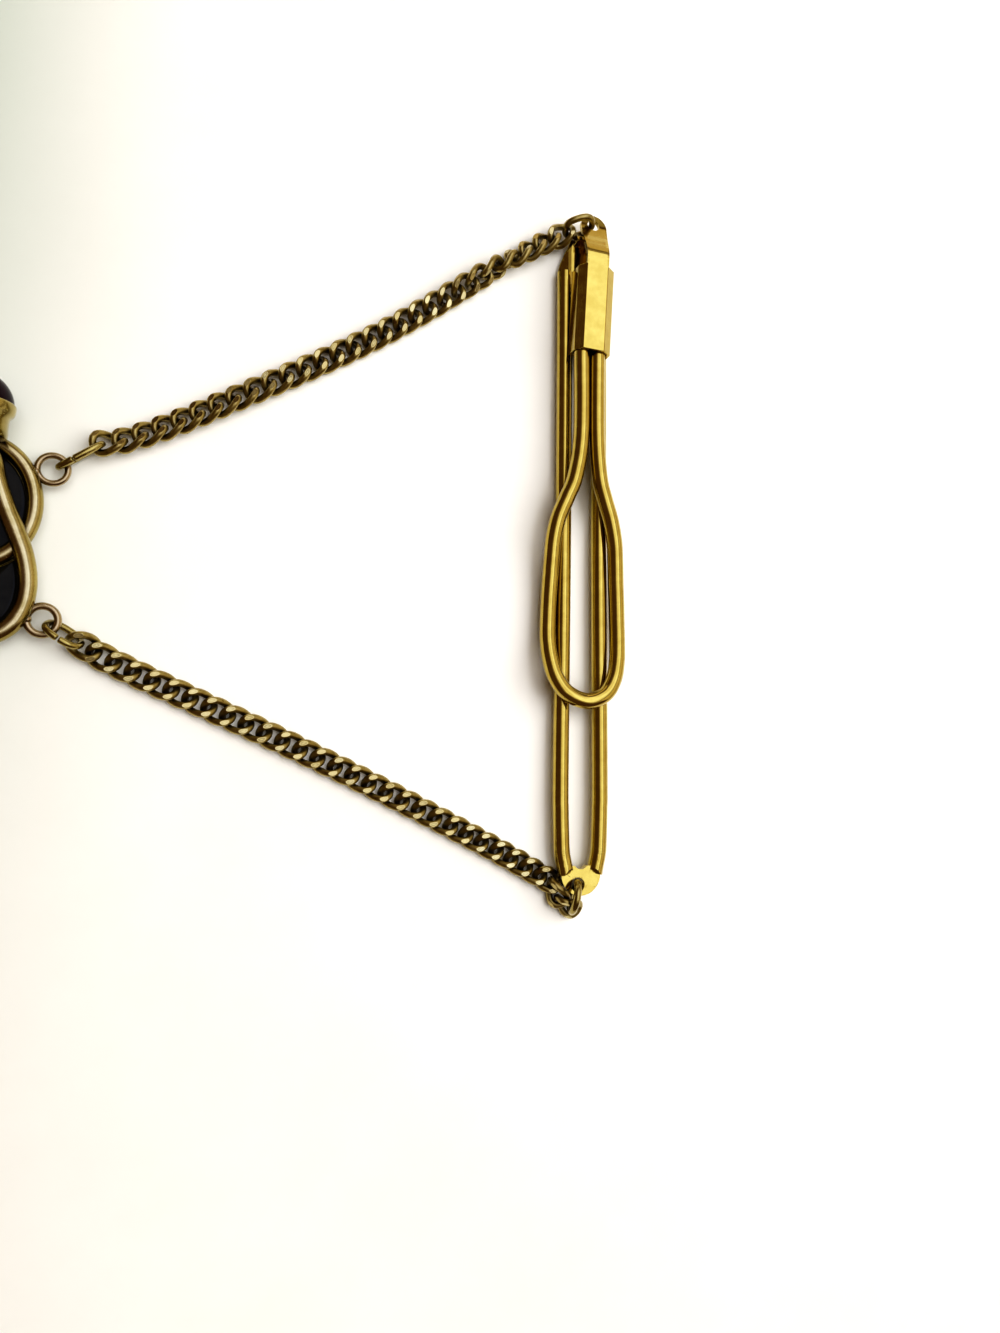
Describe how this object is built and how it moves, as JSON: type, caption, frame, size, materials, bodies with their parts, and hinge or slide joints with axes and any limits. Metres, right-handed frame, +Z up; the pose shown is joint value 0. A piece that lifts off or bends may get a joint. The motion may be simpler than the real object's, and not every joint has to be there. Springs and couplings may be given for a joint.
{
  "type": "tie bar",
  "caption": "Sprung wire tie bar with a folded sleeve; curb chains run from its ends to a knot ornament set with black stones.",
  "frame": {"origin": "on the surface it lies on, below the middle of its bounding box", "axes": "+Y along the clip, from the holed disc to the tongue; +X from the ornament to the clip; +Z up, out of the clip's front face"},
  "size_m": [0.0574, 0.0642, 0.0051],
  "materials": {
    "bright_gold": "polished gold plate on brass",
    "aged_brass": "aged gilt brass, bright on the worn faces",
    "black_stone": "polished black",
    "dark_bead": "polished, nearly black"
  },
  "bodies": {
    "root": {"back_loop": "bright_gold", "front_loop": "bright_gold", "ferrule": "bright_gold", "end_link": "aged_brass", "chain_upper": "aged_brass", "chain_lower": "aged_brass", "jump_ring": "aged_brass", "connector_upper": "aged_brass", "connector_lower": "aged_brass", "ornament": "aged_brass", "stone_upper": "black_stone", "stone_lower": "black_stone", "bead": "dark_bead"}
  },
  "joints": []
}
